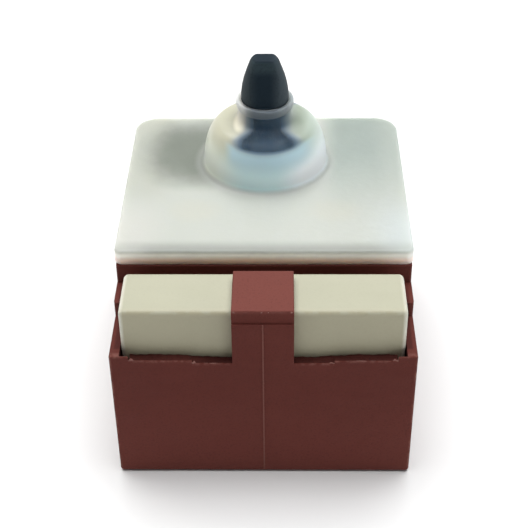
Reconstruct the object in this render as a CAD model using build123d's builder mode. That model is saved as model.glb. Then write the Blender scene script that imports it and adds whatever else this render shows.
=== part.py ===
from build123d import *
from math import cos, radians, sin
import os

os.makedirs("parts", exist_ok=True)

# Lever switch of an angle grinder: a moulded housing with two pairs of contacts, a
# toggle lever under a silicone dust boot, and a suppression capacitor in a nose
# pocket.  Millimetres.  Origin at the bottom centre, +Z up, the nose towards -Y.

# ---- driving dimensions ---------------------------------------------------------

# capacitor
capacitor_width = 26.5
capacitor_depth = 6.0
capacitor_height = 15.0
capacitor_edge = 0.5
case_wall = 0.5
potting_recess = 0.3
lead_inset = 2.0
lead_drop = 1.11
lead_diameter = 0.8
lead_gap = 0.1
lead_notch = 1.3

# nose pocket that holds the capacitor
pocket_side_gap = 0.1
pocket_side_wall = 0.95
pocket_front_gap = 0.05
pocket_front_wall = 1.15
pocket_back_wall = 1.9
nose_height = 15.1
nose_edge = 0.15
wall_step = 0.5
wall_notch = 0.3
wall_lip = 0.12
wall_bevel = 2.0
front_corner = 1.8
front_notch = 13.2
shelf_drop = 2.1
shelf_depth = 3.15

# hook over the capacitor
hook_width = 5.7
hook_slab = 0.9
hook_reach = 6.2
hook_gap = 0.09
hook_band = 1.45
hook_band_step = 0.15
hook_edge = 0.15

# body behind the nose
body_depth = 25.0
body_height = 18.8
body_wall = 1.6
well_height = 4.6
floor_thickness = 1.4
edge_round = 0.25
bottom_round = 0.4
ridge_width = 0.16
ridge_height = 0.05

# mechanism cover
cover_depth = 1.2
cover_rise = 0.6
cover_land = 0.35
cover_gap = 0.05
turret_radius = 5.2
turret_height = 1.2

# dust boot
boot_overhang = 0.1
boot_back_overhang = 0.35
boot_plate = 1.0
boot_wall = 0.8
boot_radius = 6.45
boot_height = 4.9
boot_shoulder_radius = 4.2
boot_shoulder_inset = 0.25
boot_neck_wall = 0.3
boot_neck_height = 1.6
boot_lip_height = 0.95
boot_lip_radius = 2.95
boot_lip_wall = 0.4
boot_grip_gap = 0.05
plate_back_corner = 2.5
plate_front_corner = 0.7
plate_edge = 0.25
boot_root = 0.6

# toggle lever
lever_from_back = 8.5
lever_throw = 15.0
pin_diameter = 1.5
running_gap = 0.03
hub_radius = 1.9
hub_top_gap = 0.2
hub_end_gap = 0.3
cheek_gap = 0.5
cheek_rim = 0.4
neck_radius = 2.4
stem_radius = 2.0
slot_gap = 0.15
skirt_radius = 3.9
skirt_rim = 0.4
skirt_height = 1.5
skirt_above_turret = 1.35
tip_radius = 2.45
tip_shoulder_radius = 1.72
tip_top_radius = 1.0
tip_height = 4.55
tip_shoulder_drop = 1.0
facet_base = 2.2
facet_top = 0.92
facet_edge = 0.25

# spring plungers in the lever's two barrels
cell_offset = 6.0
barrel_radius = 1.8
barrel_clearance = 2.35
plunger_radius = 1.2
plunger_gap = 0.1
plunger_travel = 1.2
plunger_stop_gap = 0.6
cup_wall = 0.35
cup_floor = 0.6
bore_gap = 0.05
bore_top_wall = 0.45
spring_wire = 0.28
spring_gap = 0.1
spring_turns = 6.5

# rocking contact strips
rocker_swing = 7.5
rocker_width = 4.4
rocker_thickness = 0.8
rocker_tail = 2.9
rocker_saddle = 2.4
rocker_ramp = 1.9
contact_radius = 1.3
contact_head = 0.4
contact_crown = 0.15
contact_gap = 0.05
rivet_radius = 0.6
rivet_button_radius = 0.9
rivet_button = 0.3
fixed_contact_radius = 1.4
fixed_contact_head = 0.6
contact_margin = 0.4
contact_front_gap = 1.79

# terminals, clamps and screws
strip_thickness = 0.8
strip_width = 4.8
strip_bend = 0.3
strip_gap = 0.05
knife_radius = 0.35
knife_height = 0.25
knife_gap = 0.04
clamp_width = 5.8
clamp_depth = 5.4
clamp_thickness = 0.7
screw_radius = 1.5
screw_head_radius = 2.5
screw_head = 1.6
screw_slot = 0.7
screw_slot_depth = 0.8
screw_end = 0.6
screw_gap = 0.02
screw_relief_gap = 0.2
well_width = 7.4
well_depth = 7.2
well_edge = 0.3
load_well_from_body = 1.2
common_well_from_back = 1.8

# ---- places worked out from them ------------------------------------------------

pocket_depth = capacitor_depth + 2 * pocket_front_gap
nose_depth = pocket_front_wall + pocket_depth + pocket_back_wall
housing_width = capacitor_width + 2 * (pocket_side_gap + pocket_side_wall)
housing_depth = nose_depth + body_depth
front_y = -housing_depth / 2
back_y = housing_depth / 2
body_front_y = front_y + nose_depth
pocket_front_y = front_y + pocket_front_wall
pocket_back_y = pocket_front_y + pocket_depth
capacitor_y = (pocket_front_y + pocket_back_y) / 2
lead_z = well_height - strip_thickness - strip_gap - lead_diameter / 2
capacitor_base = lead_z + lead_drop
capacitor_top = capacitor_base + capacitor_height
hook_under = capacitor_top + hook_gap
hook_height = hook_under + hook_slab

shelf_height = body_height - shelf_drop
front_wall_height = nose_height - wall_step
front_notch_height = front_wall_height - wall_notch
floor_top = well_height + floor_thickness
foot_top = floor_top + strip_thickness
cavity_half = housing_width / 2 - body_wall
cavity_front_y = body_front_y + body_wall
cavity_back_y = back_y - body_wall
cavity_y = (cavity_front_y + cavity_back_y) / 2
cavity_depth = cavity_back_y - cavity_front_y
cover_seat = body_height - cover_depth
pivot_height = cover_seat - hub_radius - hub_top_gap
cover_top = body_height + cover_rise
turret_top = cover_top + turret_height
plate_top = cover_top + boot_plate

lever_y = back_y - lever_from_back
lever_axis = Axis((0, lever_y, 0), (0, 0, 1))
lever_plane = Plane.XZ.offset(-lever_y)
half_throw = radians(lever_throw / 2)
skirt_under = turret_top + skirt_above_turret
neck_start = skirt_under + skirt_rim + skirt_height
dome_top = plate_top + boot_height
lip_bottom = dome_top + boot_neck_height
lip_top = lip_bottom + boot_lip_height
tip_base = lip_top + boot_grip_gap
lever_top = tip_base + tip_height
barrel_end = cell_offset + barrel_radius
cheek_inner = barrel_end + hub_end_gap + cheek_gap
hub_half = cheek_inner - hub_end_gap
bore_radius = plunger_radius + bore_gap
bore_top = pivot_height - pin_diameter / 2 - bore_top_wall

rocker_pivot_z = foot_top + knife_height
rocker_top_z = rocker_pivot_z + rocker_thickness
plunger_arm = (pivot_height - plunger_radius - rocker_top_z - plunger_gap) / cos(half_throw)
plunger_centre_z = pivot_height - plunger_arm
plunger_top = bore_top - plunger_travel - plunger_stop_gap
barrel_bottom = rocker_top_z + barrel_clearance
rocker_pivot_y = lever_y - plunger_arm * sin(half_throw)
half_swing = radians(rocker_swing / 2)
fixed_contact_y = cavity_front_y + contact_front_gap + contact_margin + fixed_contact_radius
contact_arm = (rocker_pivot_y - fixed_contact_y) / cos(half_swing)
fixed_contact_top = foot_top + fixed_contact_head
contact_drop = rocker_pivot_z - contact_arm * sin(half_swing)
contact_face = (fixed_contact_top + contact_gap - contact_drop) / cos(half_swing)
rocker_rise = contact_face + contact_head + contact_crown

load_well_y = body_front_y + load_well_from_body + well_depth / 2
common_well_y = back_y - common_well_from_back - well_depth / 2
leg_inset = well_depth / 2 - well_edge - strip_thickness / 2

sides = {"left": -1, "right": 1}

# ---- housing --------------------------------------------------------------------

with BuildPart() as housing:
    # outer form: one side profile across the whole width
    with BuildSketch(Plane.YZ):
        with BuildLine():
            Polyline(
                (front_y, 0),
                (back_y, 0),
                (back_y, body_height),
                (body_front_y, body_height),
                (body_front_y, shelf_height),
                (body_front_y - shelf_depth, shelf_height),
                (body_front_y - shelf_depth, nose_height),
                (front_y, nose_height),
                close=True,
            )
        make_face()
    extrude(amount=housing_width / 2, both=True)
    fillet(housing.edges().filter_by(Axis.Z), radius=edge_round)
    fillet(housing.edges().group_by(Axis.Z)[0], radius=bottom_round)
    # pocket for the capacitor, open above and below
    with BuildSketch(Plane.XY):
        with Locations((0, capacitor_y)):
            Rectangle(housing_width - 2 * pocket_side_wall, pocket_depth)
    extrude(amount=shelf_height, mode=Mode.SUBTRACT)
    # the front wall steps down between its corners and again beside the hook, and its
    # top is bevelled away from the capacitor down to a narrow lip
    hook_half = hook_width / 2
    pocket_half = housing_width / 2 - pocket_side_wall
    wall_spans = [
        (hook_half, front_notch / 2, front_notch_height),
        (front_notch / 2, housing_width / 2 - front_corner, front_wall_height),
        (housing_width / 2 - front_corner, pocket_half, nose_height),
    ]
    for side in sides.values():
        for span_start, span_end, span_top in wall_spans:
            with BuildSketch(Plane.YZ.offset(side * span_start)):
                with BuildLine():
                    Polyline(
                        (front_y - wall_lip, nose_height + wall_step),
                        (front_y - wall_lip, span_top),
                        (front_y + wall_lip, span_top),
                        (pocket_front_y, span_top - wall_bevel),
                        (pocket_front_y, nose_height + wall_step),
                        close=True,
                    )
                make_face()
            extrude(amount=side * (span_end - span_start), mode=Mode.SUBTRACT)
    # hook: an upright in the front wall and a slab over the capacitor
    with BuildSketch(Plane.YZ):
        with BuildLine():
            Polyline(
                (front_y, front_notch_height - wall_bevel),
                (pocket_front_y, front_notch_height - wall_bevel),
                (pocket_front_y, hook_under),
                (front_y + hook_reach, hook_under),
                (front_y + hook_reach, hook_height),
                (front_y + hook_band_step, hook_height),
                (front_y + hook_band_step, hook_height - hook_band),
                (front_y, hook_height - hook_band),
                close=True,
            )
        make_face()
    extrude(amount=hook_half, both=True)
    hook_edges = housing.edges().filter_by_position(Axis.Z, hook_height - 0.01, hook_height + 0.01)
    fillet(hook_edges, radius=hook_edge)
    # raised parting line of the mould down the middle of the front
    with BuildSketch(Plane.XY.offset(bottom_round)):
        with Locations((0, front_y)):
            Rectangle(ridge_width, 2 * ridge_height)
    extrude(amount=hook_height - hook_band - bottom_round)
    # the outer edges on top of the body and the nose are broken
    for top_height in (body_height, nose_height):
        top_edges = housing.edges().filter_by_position(Axis.Z, top_height - 0.01, top_height + 0.01)
        side_edges = top_edges.filter_by(Axis.Y)
        fillet(side_edges.group_by(Axis.X)[0] + side_edges.group_by(Axis.X)[-1], radius=nose_edge)
    # mechanism cavity and the ledge that the cover drops onto
    with BuildSketch(Plane.XY.offset(floor_top)):
        with Locations((0, cavity_y)):
            Rectangle(2 * cavity_half, cavity_depth)
    extrude(amount=body_height - floor_top, mode=Mode.SUBTRACT)
    with BuildSketch(Plane.XY.offset(cover_seat)):
        with Locations((0, cavity_y)):
            Rectangle(2 * (cavity_half + cover_land), cavity_depth + 2 * cover_land)
    extrude(amount=cover_depth, mode=Mode.SUBTRACT)
    # cheeks that carry the pivot pin, in slots open to the top
    cheek_width = cavity_half - cheek_inner
    cheek_x = (cavity_half + cheek_inner) / 2
    with BuildSketch(Plane.XY.offset(floor_top)):
        with Locations((-cheek_x, lever_y), (cheek_x, lever_y)):
            Rectangle(cheek_width, 2 * (hub_radius + cheek_rim))
    extrude(amount=cover_seat - floor_top)
    # rib between the two cells, wide enough at the rockers to guide them
    with BuildSketch(Plane.XY.offset(floor_top)):
        with Locations((0, cavity_y)):
            Rectangle(body_wall, cavity_depth)
    extrude(amount=barrel_bottom - floor_top)
    guide_half = cell_offset - rocker_width / 2 - hub_end_gap
    with BuildSketch(Plane.XY.offset(floor_top)):
        with Locations((0, rocker_pivot_y)):
            Rectangle(2 * guide_half, 2 * rocker_tail)
    extrude(amount=rocker_top_z - floor_top + rocker_thickness)
    pin_slot = pin_diameter / 2 + running_gap
    pin_half = cavity_half - body_wall / 2
    for side in sides.values():
        with BuildSketch(Plane.YZ.offset(side * cheek_inner)):
            with Locations((lever_y, pivot_height)):
                Circle(pin_slot)
            with Locations((lever_y, (pivot_height + cover_seat) / 2)):
                Rectangle(2 * pin_slot, cover_seat - pivot_height)
        extrude(amount=side * (pin_half - cheek_inner), mode=Mode.SUBTRACT)
    # terminal wells from below, with a slot for each strip and a relief for each screw
    for well_y in (load_well_y, common_well_y):
        leg_y = well_y + leg_inset
        for side in sides.values():
            with BuildSketch(Plane.XY):
                with Locations((side * cell_offset, well_y)):
                    Rectangle(well_width, well_depth)
            extrude(amount=well_height, mode=Mode.SUBTRACT)
            with BuildSketch(Plane.XY.offset(well_height)):
                with Locations((side * cell_offset, leg_y)):
                    Rectangle(
                        strip_width + 2 * strip_gap,
                        strip_thickness + 2 * (strip_bend + strip_gap),
                    )
            extrude(amount=floor_thickness, mode=Mode.SUBTRACT)
            with BuildSketch(Plane.XY.offset(well_height)):
                with Locations((side * cell_offset, well_y)):
                    Circle(screw_radius + screw_relief_gap)
            extrude(amount=screw_end + screw_relief_gap, mode=Mode.SUBTRACT)
    # notches that let the capacitor's leads through to the front wells
    lead_x = cell_offset + screw_radius + lead_diameter / 2 + lead_gap
    notch_end_y = load_well_y - well_depth / 2
    for side in sides.values():
        with BuildSketch(Plane.XY):
            with Locations((side * lead_x, (pocket_back_y + notch_end_y) / 2)):
                Rectangle(lead_notch, notch_end_y - pocket_back_y)
        extrude(amount=lead_z + lead_diameter, mode=Mode.SUBTRACT)
housing.part.label = "housing"
export_step(housing.part, "parts/housing.step")

# ---- mechanism cover ------------------------------------------------------------

with BuildPart() as mechanism_cover:
    with BuildSketch(Plane.XY.offset(cover_seat)):
        with Locations((0, cavity_y)):
            Rectangle(
                2 * (cavity_half + cover_land - cover_gap),
                cavity_depth + 2 * (cover_land - cover_gap),
            )
    extrude(amount=cover_top - cover_seat)
    with BuildSketch(Plane.XY.offset(cover_top)):
        with Locations((0, lever_y)):
            Circle(turret_radius)
    extrude(amount=turret_height)
    # slot for the lever's stem: its ends stop the lever
    slot_travel = (turret_top - pivot_height) * sin(2 * half_throw) / cos(2 * half_throw)
    with BuildSketch(Plane.XY.offset(cover_seat)):
        with Locations((0, lever_y + slot_travel / 2)):
            SlotCenterToCenter(slot_travel, 2 * (stem_radius + slot_gap), rotation=90)
    extrude(amount=turret_top - cover_seat, mode=Mode.SUBTRACT)
    # tongues that close the pin's slots
    tongue_bottom = pivot_height + pin_diameter / 2 + running_gap
    tongue_width = pin_half - cheek_inner - 2 * slot_gap
    with BuildSketch(Plane.XY.offset(tongue_bottom)):
        with Locations(
            (-(pin_half + cheek_inner) / 2, lever_y),
            ((pin_half + cheek_inner) / 2, lever_y),
        ):
            Rectangle(tongue_width, pin_diameter - slot_gap)
    extrude(amount=cover_seat - tongue_bottom)
mechanism_cover.part.label = "mechanism_cover"
export_step(mechanism_cover.part, "parts/mechanism_cover.step")

# ---- dust boot ------------------------------------------------------------------

with BuildPart() as dust_boot:
    plate_width = housing_width + 2 * boot_overhang
    plate_front_y = body_front_y + boot_overhang
    plate_back_y = back_y + boot_back_overhang
    plate_depth = plate_back_y - plate_front_y
    with BuildSketch(Plane.XY.offset(body_height)):
        with Locations((0, (plate_front_y + plate_back_y) / 2)):
            plate_outline = Rectangle(plate_width, plate_depth)
        corners = plate_outline.vertices().group_by(Axis.Y)
        fillet(corners[-1], radius=plate_back_corner)
        fillet(corners[0], radius=plate_front_corner)
    extrude(amount=plate_top - body_height)
    fillet(dust_boot.edges().group_by(Axis.Z)[-1], radius=plate_edge)
    # dome, neck and lip, turned about the lever's axis
    neck_wall_radius = neck_radius + boot_neck_wall
    lip_top_radius = neck_radius + boot_lip_wall
    with BuildSketch(lever_plane):
        with BuildLine():
            Bezier(
                (boot_radius, plate_top),
                (boot_radius, plate_top + 0.25 * boot_height),
                (boot_radius - boot_shoulder_inset, plate_top + 0.97 * boot_height),
                (boot_shoulder_radius, dome_top),
            )
            Bezier(
                (boot_shoulder_radius, dome_top),
                (neck_wall_radius, dome_top + 0.25 * boot_neck_height),
                (neck_wall_radius, dome_top + 0.35 * boot_neck_height),
                (neck_wall_radius, lip_bottom),
            )
            ThreePointArc(
                (neck_wall_radius, lip_bottom),
                (boot_lip_radius, (lip_bottom + lip_top) / 2),
                (lip_top_radius, lip_top),
            )
            Polyline(
                (lip_top_radius, lip_top),
                (0, lip_top),
                (0, plate_top - boot_plate / 2),
                (boot_radius, plate_top - boot_plate / 2),
                (boot_radius, plate_top),
            )
        make_face()
    revolve(axis=lever_axis)
    root_edge = dust_boot.edges().filter_by(GeomType.CIRCLE).filter_by_position(
        Axis.Z, plate_top - 0.01, plate_top + 0.01
    )
    fillet(root_edge.sort_by(SortBy.RADIUS)[-1], radius=boot_root)
    # hollow of the plate, which the cover stands up into
    with BuildSketch(Plane.XY.offset(body_height)):
        with Locations((0, cavity_y)):
            Rectangle(2 * (cavity_half + cover_land), cavity_depth + 2 * cover_land)
    extrude(amount=cover_rise, mode=Mode.SUBTRACT)
    # hollow of the dome, down to the lever's neck
    grip_radius = neck_radius + boot_grip_gap
    inner_radius = boot_radius - boot_wall
    inner_shoulder = boot_shoulder_radius - boot_wall
    inner_dome_top = dome_top - boot_wall
    with BuildSketch(lever_plane):
        with BuildLine():
            Bezier(
                (inner_radius, cover_top),
                (inner_radius, cover_top + 0.25 * (inner_dome_top - cover_top)),
                (inner_radius - boot_shoulder_inset, inner_dome_top - 0.1 * boot_height),
                (inner_shoulder, inner_dome_top),
            )
            Bezier(
                (inner_shoulder, inner_dome_top),
                (grip_radius, inner_dome_top + 0.4 * boot_wall),
                (grip_radius, inner_dome_top + 0.8 * boot_wall),
                (grip_radius, dome_top + 0.5 * boot_neck_height),
            )
            Polyline(
                (grip_radius, dome_top + 0.5 * boot_neck_height),
                (grip_radius, lip_top),
                (0, lip_top),
                (0, cover_top),
                (inner_radius, cover_top),
            )
        make_face()
    revolve(axis=lever_axis, mode=Mode.SUBTRACT)
dust_boot.part.label = "dust_boot"
export_step(dust_boot.part, "parts/dust_boot.step")

# ---- toggle lever ---------------------------------------------------------------

with BuildPart() as toggle_lever:
    # stem, dust skirt, neck and tip, turned about the lever's own axis
    tip_shoulder = lever_top - tip_shoulder_drop
    with BuildSketch(lever_plane):
        with BuildLine():
            Polyline(
                (0, pivot_height),
                (stem_radius, pivot_height),
                (stem_radius, skirt_under),
                (skirt_radius, skirt_under),
                (skirt_radius, skirt_under + skirt_rim),
            )
            Bezier(
                (skirt_radius, skirt_under + skirt_rim),
                (0.83 * skirt_radius, skirt_under + skirt_rim + 0.35 * skirt_height),
                (neck_radius, neck_start - 0.4 * skirt_height),
                (neck_radius, neck_start),
            )
            Polyline(
                (neck_radius, neck_start),
                (neck_radius, tip_base),
                (tip_radius, tip_base),
            )
            Bezier(
                (tip_radius, tip_base),
                (tip_radius, tip_base + 0.42 * (tip_shoulder - tip_base)),
                (
                    (tip_radius + tip_shoulder_radius) / 2,
                    tip_base + 0.73 * (tip_shoulder - tip_base),
                ),
                (tip_shoulder_radius, tip_shoulder),
            )
            Bezier(
                (tip_shoulder_radius, tip_shoulder),
                (tip_shoulder_radius - 0.2, tip_shoulder + 0.58 * tip_shoulder_drop),
                (tip_top_radius + 0.4, lever_top),
                (tip_top_radius, lever_top),
            )
            Polyline((tip_top_radius, lever_top), (0, lever_top), (0, pivot_height))
        make_face()
    revolve(axis=lever_axis)
    # flat facets on the tip's front and back
    for side in sides.values():
        with BuildSketch(Plane.YZ):
            with BuildLine():
                Polyline(
                    (lever_y + side * facet_base, tip_base),
                    (lever_y + side * facet_top, lever_top),
                    (lever_y + side * 2 * tip_radius, lever_top),
                    (lever_y + side * 2 * tip_radius, tip_base),
                    close=True,
                )
            make_face()
        extrude(amount=tip_radius, both=True, mode=Mode.SUBTRACT)
    facets = toggle_lever.faces().filter_by(GeomType.PLANE).filter_by_position(
        Axis.Z, tip_base + facet_edge, lever_top - facet_edge
    )
    facet_sides = facets.edges().filter_by_position(
        Axis.Z, tip_base + facet_edge, lever_top + facet_edge
    )
    fillet(facet_sides, radius=facet_edge)
    # cross hub on the pin, with a barrel over each cell
    with BuildSketch(Plane.YZ):
        with Locations((lever_y, pivot_height)):
            Circle(hub_radius)
    extrude(amount=hub_half, both=True)
    barrel_places = [(side * cell_offset, lever_y) for side in sides.values()]
    with BuildSketch(Plane.XY.offset(barrel_bottom)):
        with Locations(barrel_places):
            Circle(barrel_radius)
    extrude(amount=pivot_height - barrel_bottom)
    with BuildSketch(Plane.XY.offset(barrel_bottom)):
        with Locations(barrel_places):
            Circle(bore_radius)
    extrude(amount=bore_top - barrel_bottom, mode=Mode.SUBTRACT)
    with BuildSketch(Plane.YZ):
        with Locations((lever_y, pivot_height)):
            Circle(pin_diameter / 2 + running_gap)
    extrude(amount=hub_half, both=True, mode=Mode.SUBTRACT)
toggle_lever.part.label = "toggle_lever"
export_step(toggle_lever.part, "parts/toggle_lever.step")

# ---- pivot pin ------------------------------------------------------------------

with BuildPart() as pivot_pin:
    with BuildSketch(Plane.YZ):
        with Locations((lever_y, pivot_height)):
            Circle(pin_diameter / 2)
    extrude(amount=pin_half - slot_gap, both=True)
    chamfer(pivot_pin.edges(), length=slot_gap)
pivot_pin.part.label = "pivot_pin"
export_step(pivot_pin.part, "parts/pivot_pin.step")

# ---- plungers and their springs -------------------------------------------------

for name, side in sides.items():
    cell_x = side * cell_offset
    cell_axis = Axis((cell_x, lever_y, 0), (0, 0, 1))
    cup_radius = plunger_radius - cup_wall
    cup_bottom = plunger_centre_z - plunger_radius + cup_floor

    with BuildPart() as plunger:
        with BuildSketch(Plane.XZ.offset(-lever_y)):
            with BuildLine():
                CenterArc((cell_x, plunger_centre_z), plunger_radius, -90, 90)
                Polyline(
                    (cell_x + plunger_radius, plunger_centre_z),
                    (cell_x + plunger_radius, plunger_top),
                    (cell_x + cup_radius, plunger_top),
                    (cell_x + cup_radius, cup_bottom),
                    (cell_x, cup_bottom),
                    (cell_x, plunger_centre_z - plunger_radius),
                )
            make_face()
        revolve(axis=cell_axis)
    plunger.part.label = f"plunger_{name}"
    export_step(plunger.part, f"parts/plunger_{name}.step")

    coil_radius = cup_radius - spring_gap - spring_wire / 2
    coil_start = cup_bottom + spring_wire / 2
    coil_height = bore_top - spring_wire / 2 - coil_start
    with BuildPart() as plunger_spring:
        with BuildLine() as coil:
            Helix(
                pitch=coil_height / spring_turns,
                height=coil_height,
                radius=coil_radius,
                center=(cell_x, lever_y, coil_start),
            )
        with BuildSketch(Plane(origin=coil.line @ 0, z_dir=coil.line % 0)):
            Circle(spring_wire / 2)
        sweep(path=coil.line, is_frenet=True)
    plunger_spring.part.label = f"plunger_spring_{name}"
    export_step(plunger_spring.part, f"parts/plunger_spring_{name}.step")

# ---- rocking contact strips -----------------------------------------------------

# each strip is made level in its own plane, which leans by half the swing at rest
for name, side in sides.items():
    cell_x = side * cell_offset
    rocker_plane = Plane(
        origin=(cell_x, rocker_pivot_y, rocker_pivot_z),
        x_dir=(0, cos(half_swing), -sin(half_swing)),
        z_dir=(1, 0, 0),
    )
    strip_middle = rocker_thickness / 2
    tip_end = contact_arm + contact_radius
    with BuildPart() as rocker:
        with BuildSketch(rocker_plane):
            with BuildLine():
                FilletPolyline(
                    (rocker_tail, strip_middle),
                    (-rocker_saddle, strip_middle),
                    (-rocker_saddle - rocker_ramp, strip_middle + rocker_rise),
                    (-tip_end, strip_middle + rocker_rise),
                    radius=rocker_thickness,
                )
            trace(line_width=rocker_thickness)
            Circle(knife_radius + knife_gap, mode=Mode.SUBTRACT)
        extrude(amount=rocker_width / 2, both=True)
        contact_plane = Plane(
            origin=rocker_plane.from_local_coords((-contact_arm, rocker_rise, 0)),
            x_dir=(1, 0, 0),
            z_dir=rocker_plane.y_dir,
        )
        with BuildSketch(contact_plane):
            Circle(rivet_radius)
        extrude(amount=rocker_thickness, mode=Mode.SUBTRACT)
    rocker.part.label = f"rocker_{name}"
    export_step(rocker.part, f"parts/rocker_{name}.step")

    # silver rivet through the strip's end, crowned below
    with BuildPart() as moving_contact:
        rivet_plane = Plane(
            origin=contact_plane.origin,
            x_dir=contact_plane.x_dir,
            z_dir=-contact_plane.y_dir,
        )
        with BuildSketch(rivet_plane):
            with BuildLine():
                ThreePointArc(
                    (0, -contact_head - contact_crown),
                    (
                        contact_radius * 0.5,
                        -contact_head - contact_crown * 0.75,
                    ),
                    (contact_radius, -contact_head),
                )
                Polyline(
                    (contact_radius, -contact_head),
                    (contact_radius, 0),
                    (rivet_radius, 0),
                    (rivet_radius, rocker_thickness),
                    (rivet_button_radius, rocker_thickness),
                    (rivet_button_radius, rocker_thickness + rivet_button),
                    (0, rocker_thickness + rivet_button),
                    (0, -contact_head - contact_crown),
                )
            make_face()
        revolve(axis=Axis(contact_plane.origin, contact_plane.z_dir))
    moving_contact.part.label = f"moving_contact_{name}"
    export_step(moving_contact.part, f"parts/moving_contact_{name}.step")

# ---- terminals, their contacts, clamps and screws -------------------------------

knife_start_y = rocker_pivot_y - rocker_saddle / 2
load_start_y = fixed_contact_y - fixed_contact_radius - contact_margin
terminals = {
    "load": (load_well_y, load_start_y, lead_diameter + 2 * strip_gap),
    "common": (common_well_y, knife_start_y, 0),
}
foot_middle = floor_top + strip_thickness / 2
tongue_middle = well_height - strip_thickness / 2
tongue_under = well_height - strip_thickness

for kind, (well_y, foot_start_y, clamp_space) in terminals.items():
    leg_y = well_y + leg_inset
    tongue_end_y = well_y - well_depth / 2 + well_edge
    for name, side in sides.items():
        cell_x = side * cell_offset

        # strip folded round the floor: foot above, leg through it, tongue below
        with BuildPart() as terminal:
            with BuildSketch(Plane.YZ.offset(cell_x)):
                with BuildLine():
                    FilletPolyline(
                        (foot_start_y, foot_middle),
                        (leg_y, foot_middle),
                        (leg_y, tongue_middle),
                        (tongue_end_y, tongue_middle),
                        radius=strip_bend + strip_thickness / 2,
                    )
                trace(line_width=strip_thickness)
                if kind == "common":
                    with Locations((rocker_pivot_y, rocker_pivot_z)):
                        Circle(knife_radius)
            extrude(amount=strip_width / 2, both=True)
            with BuildSketch(Plane.XY.offset(tongue_under)):
                with Locations((cell_x, well_y)):
                    Circle(screw_radius + screw_gap)
            extrude(amount=strip_thickness, mode=Mode.SUBTRACT)
            if kind == "load":
                with BuildSketch(Plane.XY.offset(floor_top)):
                    with Locations((cell_x, fixed_contact_y)):
                        Circle(rivet_radius)
                extrude(amount=strip_thickness, mode=Mode.SUBTRACT)
        terminal.part.label = f"{kind}_terminal_{name}"
        export_step(terminal.part, f"parts/{kind}_terminal_{name}.step")

        # clamp plate under the tongue
        clamp_top = tongue_under - clamp_space
        with BuildPart() as clamp:
            with BuildSketch(Plane.XY.offset(clamp_top - clamp_thickness)):
                with Locations((cell_x, well_y)):
                    RectangleRounded(clamp_width, clamp_depth, radius=strip_bend)
                    Circle(screw_radius + screw_relief_gap, mode=Mode.SUBTRACT)
            extrude(amount=clamp_thickness)
        clamp.part.label = f"{kind}_clamp_{name}"
        export_step(clamp.part, f"parts/{kind}_clamp_{name}.step")

        # slotted screw, driven from below
        head_top = clamp_top - clamp_thickness
        with BuildPart() as screw:
            with BuildSketch(Plane.XY.offset(head_top - screw_head)):
                with Locations((cell_x, well_y)):
                    Circle(screw_head_radius)
            extrude(amount=screw_head)
            chamfer(screw.edges().group_by(Axis.Z)[0], length=strip_bend)
            with BuildSketch(Plane.XY.offset(head_top)):
                with Locations((cell_x, well_y)):
                    Circle(screw_radius)
            extrude(amount=well_height + screw_end - head_top)
            chamfer(screw.edges().group_by(Axis.Z)[-1], length=strip_bend)
            with BuildSketch(Plane.XY.offset(head_top - screw_head)):
                with Locations((cell_x, well_y)):
                    Rectangle(2 * screw_head_radius, screw_slot)
            extrude(amount=screw_slot_depth, mode=Mode.SUBTRACT)
        screw.part.label = f"{kind}_screw_{name}"
        export_step(screw.part, f"parts/{kind}_screw_{name}.step")

for name, side in sides.items():
    with BuildPart() as fixed_contact:
        with BuildSketch(Plane.XY.offset(floor_top)):
            with Locations((side * cell_offset, fixed_contact_y)):
                Circle(rivet_radius)
        extrude(amount=strip_thickness)
        with BuildSketch(Plane.XY.offset(foot_top)):
            with Locations((side * cell_offset, fixed_contact_y)):
                Circle(fixed_contact_radius)
        extrude(amount=fixed_contact_head)
        fillet(fixed_contact.edges().group_by(Axis.Z)[-1], radius=contact_crown)
    fixed_contact.part.label = f"fixed_contact_{name}"
    export_step(fixed_contact.part, f"parts/fixed_contact_{name}.step")

# ---- capacitor ------------------------------------------------------------------

with BuildPart() as capacitor_case:
    with BuildSketch(Plane.XY.offset(capacitor_base)):
        with Locations((0, capacitor_y)):
            Rectangle(capacitor_width, capacitor_depth)
    extrude(amount=capacitor_height)
    fillet(capacitor_case.edges().filter_by(Axis.Z), radius=capacitor_edge)
    fillet(capacitor_case.edges().group_by(Axis.Z)[-1], radius=capacitor_edge)
    with BuildSketch(Plane.XY.offset(capacitor_base)):
        with Locations((0, capacitor_y)):
            Rectangle(capacitor_width - 2 * case_wall, capacitor_depth - 2 * case_wall)
    extrude(amount=capacitor_height - case_wall, mode=Mode.SUBTRACT)
capacitor_case.part.label = "capacitor_case"
export_step(capacitor_case.part, "parts/capacitor_case.step")

potting_base = capacitor_base + potting_recess
with BuildPart() as capacitor_potting:
    with BuildSketch(Plane.XY.offset(potting_base)):
        with Locations((0, capacitor_y)):
            Rectangle(capacitor_width - 2 * case_wall, capacitor_depth - 2 * case_wall)
    extrude(amount=capacitor_top - case_wall - potting_base)
capacitor_potting.part.label = "capacitor_potting"
export_step(capacitor_potting.part, "parts/capacitor_potting.step")

for name, side in sides.items():
    exit_x = side * (capacitor_width / 2 - lead_inset)
    with BuildPart() as capacitor_lead:
        with BuildLine() as lead_path:
            FilletPolyline(
                (exit_x, capacitor_y, potting_base),
                (exit_x, capacitor_y, lead_z),
                (side * lead_x, pocket_back_y, lead_z),
                (side * lead_x, load_well_y + clamp_depth / 2, lead_z),
                radius=lead_diameter,
            )
        with BuildSketch(Plane(origin=lead_path.line @ 0, z_dir=lead_path.line % 0)):
            Circle(lead_diameter / 2)
        sweep(path=lead_path.line)
    capacitor_lead.part.label = f"capacitor_lead_{name}"
    export_step(capacitor_lead.part, f"parts/capacitor_lead_{name}.step")
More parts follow.
